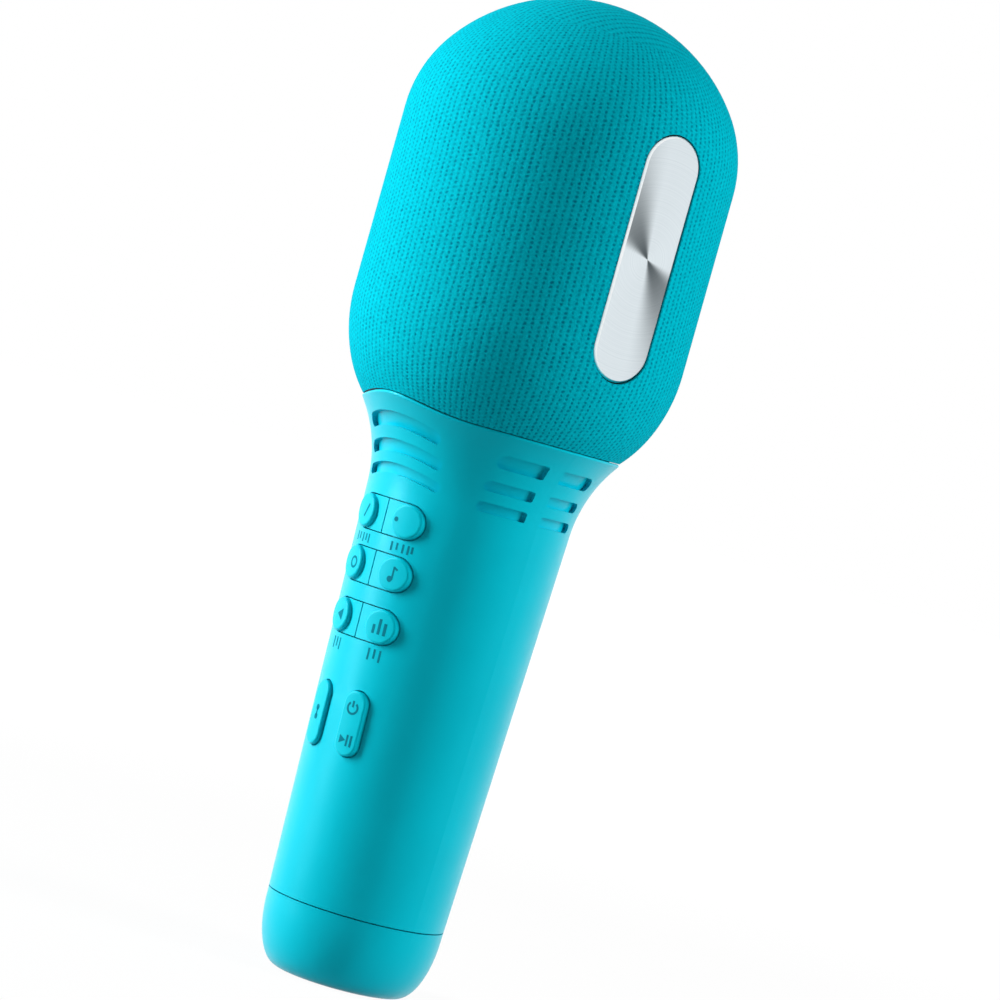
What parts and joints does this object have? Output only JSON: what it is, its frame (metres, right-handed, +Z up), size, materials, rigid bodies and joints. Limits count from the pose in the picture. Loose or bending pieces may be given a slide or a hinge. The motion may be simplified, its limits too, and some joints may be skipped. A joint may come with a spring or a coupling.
{
  "type": "karaoke microphone",
  "caption": "Cordless karaoke microphone: fabric-covered bulb head with a metal side plate on a flared, tapered handle with grooved neck and sprung front keys.",
  "frame": {"origin": "centre of the base cap's flat bottom face", "axes": "+Z up the long axis from the base to the top of the head; the keys face -Y; the metal plate faces +X, turned 4.4 degrees towards the keys"},
  "size_m": [0.0827, 0.083, 0.2472],
  "materials": {
    "handle_plastic": "satin moulded ABS, turquoise",
    "key_plastic": "satin moulded ABS, turquoise, with darker printed pictograms",
    "head_fabric": "knitted polyester speaker cloth, turquoise",
    "plate_metal": "circular brushed, bright bevelled edge",
    "frame_plastic": "black moulded ABS",
    "chassis_plastic": "grey moulded ABS",
    "circuit_board": "green solder mask",
    "switch_metal": "tinned switch cans with black plungers",
    "screw_steel": "zinc plated",
    "cell_wrap": "shrink-wrapped lithium cell",
    "contact_nickel": "nickel strip",
    "port_steel": "stamped steel shell",
    "speaker_steel": "black pressed steel",
    "magnet_ferrite": "sintered ferrite",
    "cone_paper": "treated paper with a rubber surround",
    "boot_rubber": "soft moulded rubber",
    "capsule_metal": "drawn aluminium can",
    "liner_foam": "open-cell foam"
  },
  "bodies": {
    "microphone": {"handle_shell": "handle_plastic", "base_cap": "handle_plastic", "base_screws": "screw_steel", "charge_board": "circuit_board", "charge_port": "port_steel", "inner_chassis": "chassis_plastic", "main_board": "circuit_board", "board_screws": "screw_steel", "tact_switches": "switch_metal", "battery_cell": "cell_wrap", "battery_contacts": "contact_nickel", "head_bowl": "frame_plastic", "neck_screws": "screw_steel", "speaker_frame": "speaker_steel", "speaker_magnet": "magnet_ferrite", "speaker_cone": "cone_paper", "speaker_screws": "screw_steel", "head_basket": "frame_plastic", "side_plate": "plate_metal", "fabric_sleeve": "head_fabric", "capsule_bridge": "chassis_plastic", "bridge_screws": "screw_steel", "capsule_boot": "boot_rubber", "mic_capsule": "capsule_metal", "foam_liner": "liner_foam"},
    "power_key": {"power_key": "key_plastic"},
    "mode_key": {"mode_key": "key_plastic"},
    "upper_right_key": {"upper_right_key": "key_plastic"},
    "upper_left_key": {"upper_left_key": "key_plastic"},
    "middle_right_key": {"middle_right_key": "key_plastic"},
    "middle_left_key": {"middle_left_key": "key_plastic"},
    "lower_right_key": {"lower_right_key": "key_plastic"},
    "lower_left_key": {"lower_left_key": "key_plastic"}
  },
  "joints": [
    {"name": "power_press", "type": "slide", "parent": "microphone", "child": "power_key", "axis": [0, 1, 0], "range_m": [0, 0.0006], "stiffness_N_per_m": 1500, "springref_m": -0.0004},
    {"name": "mode_press", "type": "slide", "parent": "microphone", "child": "mode_key", "axis": [0, 1, 0], "range_m": [0, 0.0006], "stiffness_N_per_m": 1500, "springref_m": -0.0004},
    {"name": "upper_right_press", "type": "slide", "parent": "microphone", "child": "upper_right_key", "axis": [0, 1, 0], "range_m": [0, 0.0006], "stiffness_N_per_m": 1500, "springref_m": -0.0004},
    {"name": "upper_left_press", "type": "slide", "parent": "microphone", "child": "upper_left_key", "axis": [0, 1, 0], "range_m": [0, 0.0006], "stiffness_N_per_m": 1500, "springref_m": -0.0004},
    {"name": "middle_right_press", "type": "slide", "parent": "microphone", "child": "middle_right_key", "axis": [0, 1, 0], "range_m": [0, 0.0006], "stiffness_N_per_m": 1500, "springref_m": -0.0004},
    {"name": "middle_left_press", "type": "slide", "parent": "microphone", "child": "middle_left_key", "axis": [0, 1, 0], "range_m": [0, 0.0006], "stiffness_N_per_m": 1500, "springref_m": -0.0004},
    {"name": "lower_right_press", "type": "slide", "parent": "microphone", "child": "lower_right_key", "axis": [0, 1, 0], "range_m": [0, 0.0006], "stiffness_N_per_m": 1500, "springref_m": -0.0004},
    {"name": "lower_left_press", "type": "slide", "parent": "microphone", "child": "lower_left_key", "axis": [0, 1, 0], "range_m": [0, 0.0006], "stiffness_N_per_m": 1500, "springref_m": -0.0004}
  ]
}
